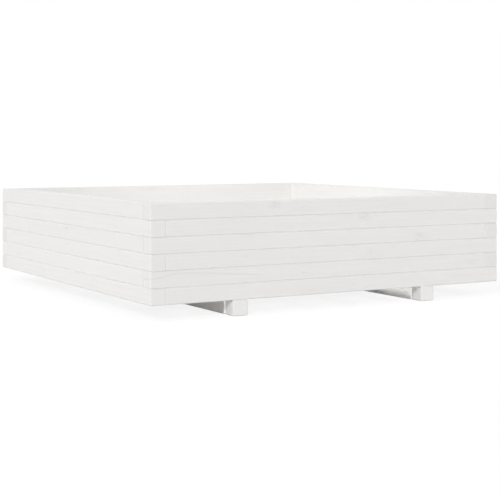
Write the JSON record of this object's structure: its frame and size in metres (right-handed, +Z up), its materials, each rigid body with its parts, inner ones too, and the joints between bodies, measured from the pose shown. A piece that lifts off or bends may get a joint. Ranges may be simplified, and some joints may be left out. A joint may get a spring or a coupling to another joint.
{
  "type": "raised planter box",
  "caption": "Square white-painted wooden planter box of stacked battens with alternating corner joints, a slatted floor and two runners with foot blocks.",
  "frame": {"origin": "centre of the footprint, on the ground under the runners", "axes": "+Z up; -Y is the outer face of the front wall; +X is to the right, seen from the front; the runners lie along Y"},
  "size_m": [1, 1, 0.265],
  "materials": {
    "painted_wood": "satin white paint on planed softwood",
    "beech": "fluted beech dowel, raw",
    "zinc_steel": "zinc plated"
  },
  "bodies": {
    "root": {"back_board_1": "painted_wood", "back_board_2": "painted_wood", "back_board_3": "painted_wood", "back_board_4": "painted_wood", "back_board_5": "painted_wood", "back_board_6": "painted_wood", "bearer_screws": "zinc_steel", "floor_bearer_1": "painted_wood", "floor_bearer_2": "painted_wood", "floor_bearer_3": "painted_wood", "floor_slat_1": "painted_wood", "floor_slat_2": "painted_wood", "floor_slat_3": "painted_wood", "floor_slat_4": "painted_wood", "floor_slat_5": "painted_wood", "floor_slat_6": "painted_wood", "floor_slat_7": "painted_wood", "floor_slat_8": "painted_wood", "foot_back_left": "painted_wood", "foot_back_right": "painted_wood", "foot_dowels": "beech", "foot_front_left": "painted_wood", "foot_front_right": "painted_wood", "foot_screws": "zinc_steel", "front_board_1": "painted_wood", "front_board_2": "painted_wood", "front_board_3": "painted_wood", "front_board_4": "painted_wood", "front_board_5": "painted_wood", "front_board_6": "painted_wood", "left_board_1": "painted_wood", "left_board_2": "painted_wood", "left_board_3": "painted_wood", "left_board_4": "painted_wood", "left_board_5": "painted_wood", "left_board_6": "painted_wood", "right_board_1": "painted_wood", "right_board_2": "painted_wood", "right_board_3": "painted_wood", "right_board_4": "painted_wood", "right_board_5": "painted_wood", "right_board_6": "painted_wood", "runner_left": "painted_wood", "runner_right": "painted_wood", "slat_screws": "zinc_steel", "wall_dowels": "beech"}
  },
  "joints": []
}
